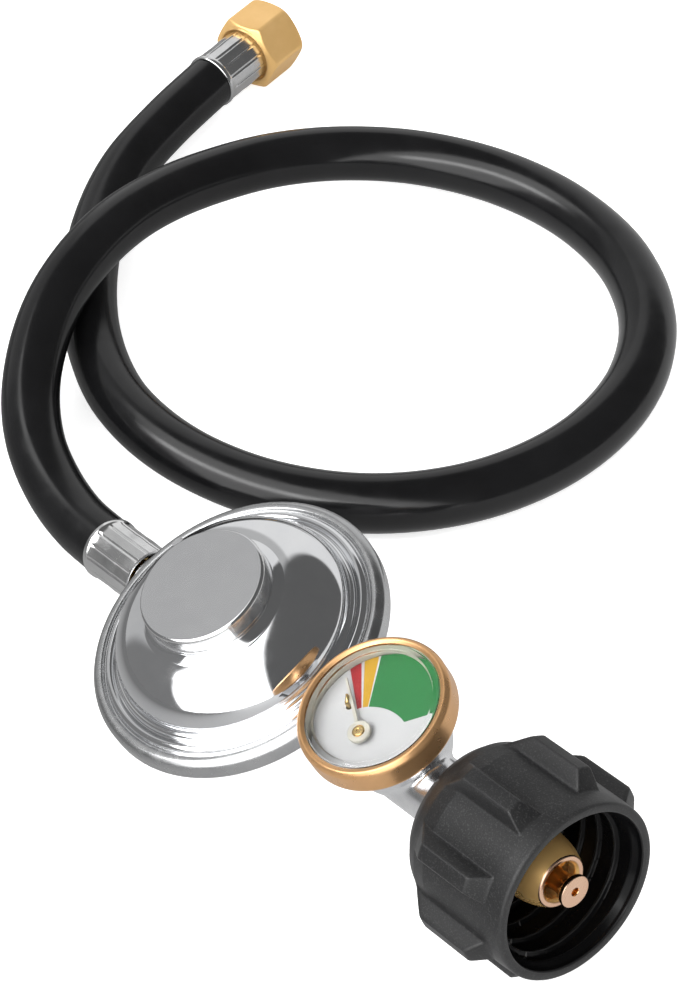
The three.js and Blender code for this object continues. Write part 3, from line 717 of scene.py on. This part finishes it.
# ---- Body casting ------------------------------------------------------------------------------
def make_body():
    gauge_spot = at(GAUGE_X, GAUGE_Y, 0)
    bowl = turned("body_die_cast", [
        (0, -7.5), (13, -7.5, 2), (19.5, -5.6, 3), (24, -2.2, 3), (28, 3, 3), (30.5, 5.6, 1), (33.3, 5.9),
        (33.3, 7.9), (0, 7.9),
    ], 128)
    arm = turned("arm", rod(ARM_R, 22.5, 82.2), 96, ALONG_X)
    shoulder = turned("shoulder", [
        (0, 68.2), (ARM_R, 68.2, 0.6), (9.2, 70, 0.5), (9.2, 72, 0.5), (0, 72),
    ], 96, ALONG_X)
    stub = turned("stub", [
        (0, -38.7), (STUB_R, -38.7, 0.5), (STUB_R, -30, 0.8), (7.3, -27, 0.8), (7.3, -22), (0, -22),
    ], 96, ALONG_X)
    boss = turned("boss", [
        (0, 0), (10.2, 0, 2), (11.3, 3, 3), (13.2, 10, 2), (13.8, 13, 0.5), (0, 13),
    ], 128, gauge_spot)
    combine(bowl, [arm, shoulder, stub, boss], "UNION")
    # The die casting's inside corners are soft.
    skin = bowl.modifiers.new("skin", "REMESH")
    skin.mode = "VOXEL"
    skin.voxel_size = 0.5 * MM
    soften = bowl.modifiers.new("soften", "SMOOTH")
    soften.factor = 0.5
    soften.iterations = 9
    apply_modifiers(bowl)
    cuts = [
        turned("chamber", [
            (0, -4.5), (17, -4.5, 1), (21, -2.5, 1), (26, 3.5, 1), (27.5, 9.2), (0, 9.2),
        ], 96),
        turned("recess", rod(27.5, 6.6, 9), 96),
        turned("orifice_seat", rod(3.7, 15, 27), 48, ALONG_X),
        turned("bore", rod(2.5, 26, 70), 48, ALONG_X),
        turned("inlet_bore", rod(5.5, 66, 90), 48, ALONG_X),
        turned("outlet_bore", rod(4, -45, -15), 48, ALONG_X),
        turned("gauge_port", rod(1.4, 0, 12), 32, gauge_spot @ at(0, -0.9, 0)),
        turned("gauge_thread", rod(3.3, 3, 12), 48, gauge_spot),
        turned("gauge_seat", rod(11.8, 8.6, 14), 96, gauge_spot),
    ]
    combine(bowl, cuts, "DIFFERENCE")
    ears = [box("ear", (10.9, 14.1), (y - 0.8, y + 0.8), (-5, -1.6)) for y in (3.6, -3.6)]
    combine(bowl, ears, "UNION")
    pin = turned("pin_cut", rod(0.9, -8, 8), 32, at(12.5, 0, -3) @ Matrix.Rotation(math.pi / 2, 4, "X"))
    combine(bowl, [pin], "DIFFERENCE")
    settle(bowl, REGULATOR, "regulator", [CAST], ["body_casting"], sharp=45)


make_body()


# ---- Gauge -------------------------------------------------------------------------------------
def make_gauge():
    case = turned("gauge_case_spun", [
        (3.4, 8.9), (11.5, 8.9, 0.5), (11.5, 13.4, 0.6), (16.2, 13.4, 0.4), (16.2, 18.2), (15.7, 18.2),
        (15.7, 14), (10.9, 14), (10.9, 9.3), (3.4, 9.3),
    ], 128)

    def inside(x, y, z):
        return 1 if math.hypot(x, y) < 15.75 and z > 13.9 else 0

    settle(case, GAUGE, "regulator", [BEZEL, GASKET], ["gauge_case"], inside)
    bezel = turned("gauge_bezel_spun", [
        (16.5, 14.2), (17.0, 14.2, 0.3), (17.2, 14.8, 0.4), (17.2, 19.5, 0.9), (16.4, 20.5, 0.8),
        (15.9, 20.5, 0.5), (15.1, 20.1, 0.2), (15.3, 19.95), (16.3, 20.0), (16.5, 19.6),
    ], 192, steps=6)
    settle(bezel, GAUGE, "regulator", [BEZEL], ["gauge_bezel"], sharp=60)
    lens = turned("gauge_lens_moulded", [
        (0, 18.6), (16.1, 18.6), (16.1, 19.7), (14.9, 19.7, 0.1), (14.8, 20.1, 0.2), (13.6, 20.1, 0.2),
        (13.3, 19.7, 0.1), (0, 19.7),
    ], 192)
    settle(lens, GAUGE, "regulator", [LENS], ["gauge_lens"])
    dial = turned("gauge_dial_printed", [
        (0, 14.9), (15.3, 14.9), (15.3, 15.35, 0.05), (15.25, DIAL_Z), (0, DIAL_Z),
    ], 192)
    spindle = turned("spindle_cut", rod(0.95, 10, 18), 48, at(0, POINTER_Y, 0))
    pin_hole = turned("pin_cut", rod(0.8, 10, 18), 48, at(*STOP_PIN, 0))
    combine(dial, [spindle, pin_hole], "DIFFERENCE")
    settle(dial, GAUGE, "regulator", [DIAL], ["gauge_dial"], keep_frame=True)


make_gauge()


def swept(name, line, radii, count):
    """A closed round tube along a line, with a radius at each point."""
    line = [np.array(p, float) for p in line]
    vertices = []
    side = None
    for i, point in enumerate(line):
        ahead = line[min(i + 1, len(line) - 1)] - line[max(i - 1, 0)]
        ahead /= np.linalg.norm(ahead)
        if side is None:
            side = np.cross(ahead, (0.31, 0.87, 0.39))
        side = side - ahead * side.dot(ahead)
        side /= np.linalg.norm(side)
        other = np.cross(ahead, side)
        for k in range(count):
            angle = TURN * k / count
            vertices.append(point + radii[i] * (math.cos(angle) * side + math.sin(angle) * other))
    faces = [tuple(range(count)), tuple(range(len(vertices) - count, len(vertices)))]
    for i in range(len(line) - 1):
        for k in range(count):
            n = (k + 1) % count
            faces.append((i * count + k, i * count + n, (i + 1) * count + n, (i + 1) * count + k))
    return mesh_object(name, vertices, faces)


def make_stop_pin():
    x, y = STOP_PIN
    line = [
        (x, y, 14.5), (x, y, 15.8), (x, y, 16.4), (x + 0.05, y + 0.15, 16.9), (x - 0.05, y + 0.5, 17.2),
        (x - 0.3, y + 0.85, 17.35), (x - 0.65, y + 1.15, 17.35), (x - 1.1, y + 1.3, 17.3),
    ]
    piece = swept("stop_pin_bent", line, [0.5, 0.5, 0.5, 0.48, 0.45, 0.42, 0.4, 0.3], 24)
    settle(piece, GAUGE, "regulator", [BRASS], ["stop_pin"], sharp=60)


make_stop_pin()


def make_pointer():
    hub = turned("pointer_hub", [
        (0, 16.3), (2.6, 16.3, 0.15), (2.6, 17.2, 0.35), (1.45, 17.2, 0.15), (1.35, 17.0), (1.25, 17.0),
        (1.2, 17.35, 0.2), (0.45, 17.35, 0.1), (0.4, 17.15), (0, 17.15),
    ], 96)
    outline = [(-2.6, -0.5), (1.2, -0.5), (14.6, -0.25), (14.6, 0.25), (1.2, 0.5), (-2.6, 0.5)]
    vertices = [(x, y, 16.62) for x, y in outline] + [(x, y * 0.8, 16.98) for x, y in outline]
    count = len(outline)
    faces = [tuple(range(count)), tuple(range(count, 2 * count))]
    faces += [(k, (k + 1) % count, (k + 1) % count + count, k + count) for k in range(count)]
    blade = mesh_object("blade", vertices, faces, Matrix.Rotation(POINTER_REST, 4, "Z"))
    combine(hub, [blade], "UNION")
    hole = turned("pinion_cut", rod(0.6, 16, 16.7), 32)
    combine(hub, [hole], "DIFFERENCE")
    hub.name = "pointer_needle"

    def pick(x, y, z):
        return 1 if math.hypot(x, y) < 1.42 and z > 16.9 else 0

    home = GAUGE @ at(0, POINTER_Y, 0)
    settle(hub, home, "gauge_pointer", [CREAM, BRASS], ["pointer"], pick)


make_pointer()


# ---- Inlet nipple and probe --------------------------------------------------------------------
def make_nipple():
    piece = turned("inlet_nipple_turned", [
        (2.4, 66.5), (5.2, 66.5, 0.2), (5.2, 82.6), (12, 82.6, 0.3), (12, 85.6, 0.3), (8.4, 86.2, 0.4),
        (8, 86.8, 0.3), (8, 92.8, 2.0), (7.7, 96.5, 2.0), (6.95, 99.4, 1.6), (6.0, 101.5, 0.5),
        (5.75, 102, 0.25), (4.9, 102, 0.2), (4.25, 101.2, 0.2), (4.25, 85.5), (2.4, 85.5),
    ], 160, ALONG_X, steps=6)

    def pick(x, y, z):
        return 1 if x > 101.6 and math.hypot(y, z) > 4.2 else 0

    settle(
        piece, REGULATOR, "regulator", [NIPPLE, COPPER], ["inlet_nipple"], pick, sharp=50,
        keep_frame=True,
    )
    probe = turned("inlet_probe_turned", [
        (0, 96.5), (1.7, 96.5), (2.3, 99, 0.3), (2.3, 102.5, 0.8), (3, 104.2, 0.3), (3.58, 104.9, 0.2),
        (3.58, 106, 0.2), (1.0, 106, 0.1), (0.9, 105.8), (0.9, 104.6), (0, 104.6),
    ], 128, ALONG_X, steps=5)
    arms = [
        box("arm", (97, 99), (-3.95, 3.95), (-0.7, 0.7)),
        box("arm", (97, 99), (-0.7, 0.7), (-3.95, 3.95)),
    ]
    combine(probe, arms, "UNION")

    def tip(x, y, z):
        return 1 if x > 105.7 and math.hypot(y, z) > 0.95 else 0

    settle(probe, REGULATOR, "regulator", [PROBE, COPPER], ["inlet_probe"], tip, sharp=45)


make_nipple()


# ---- Hand nut ----------------------------------------------------------------------------------
def make_hand_nut():
    count = 560
    angles = np.arange(count) * TURN / count
    phase = LUG_PHASE + math.pi / 2
    aside = np.abs((angles - phase + TURN / LUGS / 2) % (TURN / LUGS) - TURN / LUGS / 2)
    side = LUG_R - (aside - LUG_TOP) / (LUG_FOOT - LUG_TOP) * (LUG_R - NUT_R)
    body = [
        (12.8, NUT_BACK), (15.9, NUT_BACK + 1.1), (18.0, NUT_BACK + 3.6), (19.4, NUT_BACK + 6.6),
        (NUT_R, NUT_BACK + 10.6), (NUT_R, MOUTH_X - 4), (20.15, MOUTH_X - 0.8),
    ]
    xs = np.concatenate([
        np.linspace(NUT_BACK, NUT_BACK + 6.4, 14)[1:], np.linspace(NUT_BACK + 6.8, NUT_BACK + 13.2, 26),
        np.linspace(NUT_BACK + 14, MOUTH_X - 9, 12), np.linspace(MOUTH_X - 8.7, MOUTH_X - 4.2, 20),
        np.linspace(MOUTH_X - 3.8, MOUTH_X - 0.8, 8),
    ])
    base = np.interp(xs, [p[1] for p in body], [p[0] for p in body])
    rings = [(8.1, NUT_BACK + 0.4), (8.4, NUT_BACK), (12.6, NUT_BACK)]
    for x, r in zip(xs, base):
        back = 20.0 + (x - LUG_BACK) / LUG_RAMP_BACK * 4.0
        front = LUG_R - (x - (MOUTH_X - 7.9)) / LUG_RAMP_FRONT * (LUG_R - NUT_R)
        top = np.full(count, LUG_R - 0.02)
        lug = soft_min(soft_min(side, top, 0.45), np.full(count, min(back, front)), 0.5)
        rings.append((soft_max(np.full(count, r), lug, 0.45), x))
    rings += [
        (20.1, MOUTH_X - 0.45), (19.9, MOUTH_X - 0.12), (19.6, MOUTH_X), (18.5, MOUTH_X),
        (18.15, MOUTH_X - 0.1),
        (17.95, MOUTH_X - 0.4), (17.9, MOUTH_X - 0.9), (17.75, MOUTH_X - 1.5), (17.1, MOUTH_X - 2.2),
    ]
    # One start of a broad flat-topped thread winds down the bore.
    for x in np.linspace(MOUTH_X - 2.6, THREAD_BOTTOM, 92):
        turn = ((x - MOUTH_X) / THREAD_PITCH + (angles - phase) / TURN) % 1.0
        apart = np.abs(turn - 0.5) * THREAD_PITCH
        ridge = np.clip((THREAD_HALF_WIDTH - apart) / 0.5, 0, 1)
        ridge = ridge * ridge * (3 - 2 * ridge)
        fade = np.clip(min((MOUTH_X - 2.6 - x) / 1.6, (x - THREAD_BOTTOM) / 1.2), 0, 1)
        rings.append((THREAD_R - THREAD_HEIGHT * ridge * fade, x))
    rings += [(16.6, 84.4), (14.3, 84.3), (14, 84.0), (14, 77.3), (13.7, 77), (8.1, 77)]
    piece = ringed("hand_nut_moulded", rings, count, ALONG_X)

    # Faces inside the bore take the copy of the plastic with painted shade.
    def pick(x, y, z):
        return 1 if math.hypot(y, z) < 18.3 and x > NUT_BACK + 7 else 0

    settle(
        piece, REGULATOR, "hand_nut", [NUT_OUTSIDE, NUT_BORE_SHADED], ["hand_nut"], pick,
        sharp=60,
    )


make_hand_nut()


# ---- Finishes of the CAD nodes that stay -------------------------------------------------------
KEPT = {
    BRASS: [
        "outlet_barb", "orifice", "valve_holder", "diaphragm_post", "flow_poppet", "gauge_socket",
        "movement_plate",
        "spindle_pinion", "sector_gear", "bourdon_tube", "flare_barb",
    ],
    STEEL: [
        "lever", "lever_pin", "diaphragm_plate", "main_spring", "vent_screen", "flow_spring", "gauge_link",
    ],
    RUBBER: ["seat_pad", "diaphragm"],
    PLASTIC: ["adjusting_screw", "thermal_bushing"],
}
for material, names in KEPT.items():
    for name in names:
        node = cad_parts[name]
        node.data.materials.clear()
        node.data.materials.append(material)
        smooth(node, 35)


# ---- Floor and light ---------------------------------------------------------------------------
FLOOR_HALF = 3.0


def make_floor():
    mesh = bpy.data.meshes.new("floor")
    h = FLOOR_HALF
    mesh.from_pydata([(-h, -h, 0), (h, -h, 0), (h, h, 0), (-h, h, 0)], [], [(0, 1, 2, 3)])
    floor = bpy.data.objects.new("floor", mesh)
    scene.collection.objects.link(floor)
    material = bpy.data.materials.new("pale_floor")
    material.use_nodes = True
    shader = material.node_tree.nodes["Principled BSDF"]
    shader.inputs["Base Color"].default_value = (0.8, 0.8, 0.8, 1)
    shader.inputs["Roughness"].default_value = 0.9
    shader.inputs["Specular IOR Level"].default_value = 0.0
    shader.inputs["Emission Strength"].default_value = 1.0
    nodes = Nodes(material.node_tree)
    place = nodes.add("ShaderNodeTexCoord").outputs["Object"]
    # Reflected rays see painted light on the floor: a bright side towards +x and +y, a dark side opposite,
    # and a base colour painted darker. Other rays see the floor evenly pale and glowing.
    lit = nodes.clamp_range(nodes.dot(place, (0.8, 0.6, 0)), -0.2, 0.12, smooth=True)
    painted_reflected_light = nodes.mix(lit, grey(0.0), grey(0.6))
    glossy = nodes.add("ShaderNodeLightPath").outputs["Is Glossy Ray"]
    glow = nodes.mix(glossy, grey(0.72), painted_reflected_light)
    material.node_tree.links.new(glow, shader.inputs["Emission Color"])
    reflected_floor_shade = nodes.mix(glossy, grey(0.8), grey(0.12))
    material.node_tree.links.new(reflected_floor_shade, shader.inputs["Base Color"])
    mesh.materials.append(material)


make_floor()


# A studio of broad panels, split by planes through the object: a white softbox in front on the left,
# a dark card over the top and the right, and grey and white walls behind and on the left.
SPLIT_BOX = Vector((0.751, -0.066, 0.657)).normalized()
SPLIT_CARD = Vector((0.304, 0.903, 0.303)).normalized()
WALL_AZIMUTHS = (math.radians(160), math.radians(-160))
SOFTBOX = 2.6
CARD = 0.11
# The softbox's lamp is a long strip in its middle.
LAMP = 9.0
STRIP_MIDDLE = Vector((-0.12, -0.7, 0.7)).normalized()
STRIP_NORMAL = STRIP_MIDDLE.cross(Vector((0, 0, 1)).cross(STRIP_MIDDLE)).normalized()


def make_world():
    world = bpy.data.worlds.new("studio")
    scene.world = world
    world.use_nodes = True
    tree = world.node_tree
    nodes = Nodes(tree)
    background = tree.nodes["Background"]
    ray = nodes.add("ShaderNodeTexCoord").outputs["Generated"]

    def beyond(normal, soft, offset=0.0):
        return nodes.clamp_range(nodes.dot(ray, normal), offset - soft, offset + soft, smooth=True)

    left = beyond(Vector((math.sin(WALL_AZIMUTHS[0]), -math.cos(WALL_AZIMUTHS[0]), 0)), 0.03)
    right = beyond(Vector((-math.sin(WALL_AZIMUTHS[1]), math.cos(WALL_AZIMUTHS[1]), 0)), 0.05)
    walls = nodes.mix(left, grey(0.48), grey(0.78))
    walls = nodes.mix(right, walls, grey(0.2))
    off_middle = nodes.math("ABSOLUTE", nodes.dot(ray, STRIP_NORMAL))
    across = nodes.clamp_range(off_middle, 0.05, 0.13, 1.0, 0.0, smooth=True)
    along = beyond(STRIP_MIDDLE, 0.06, 0.72)
    strip = nodes.math("MULTIPLY", across, along)
    softbox = nodes.mix(strip, grey(SOFTBOX), grey(LAMP))
    card = nodes.mix(beyond(SPLIT_CARD, 0.04), softbox, grey(CARD))
    room = nodes.mix(beyond(SPLIT_BOX, 0.035), walls, card)
    path = nodes.add("ShaderNodeLightPath")
    room = nodes.mix(path.outputs["Is Diffuse Ray"], room, grey(1.0))
    room = nodes.mix(path.outputs["Is Camera Ray"], room, grey(1.2))
    tree.links.new(room, background.inputs["Color"])
    background.inputs["Strength"].default_value = 1.0


make_world()


def make_light(name, place, target, size, power):
    data = bpy.data.lights.new(name, "AREA")
    data.shape = "RECTANGLE"
    data.size, data.size_y = size
    data.energy = power
    light = bpy.data.objects.new(name, data)
    aim = Vector(place) - Vector(target)
    light.matrix_world = Matrix.Translation(place) @ aim.to_track_quat("Z", "Y").to_matrix().to_4x4()
    scene.collection.objects.link(light)
    light.visible_glossy = False


KEY_PLACE = (-0.35, -0.9, 1.2)
KEY_SIZE = (0.9, 0.9)
KEY_WATTS = 7.0
make_light("key", KEY_PLACE, (0, 0, 0), KEY_SIZE, KEY_WATTS)

scene.view_settings.view_transform = "Standard"
scene.view_settings.look = "None"
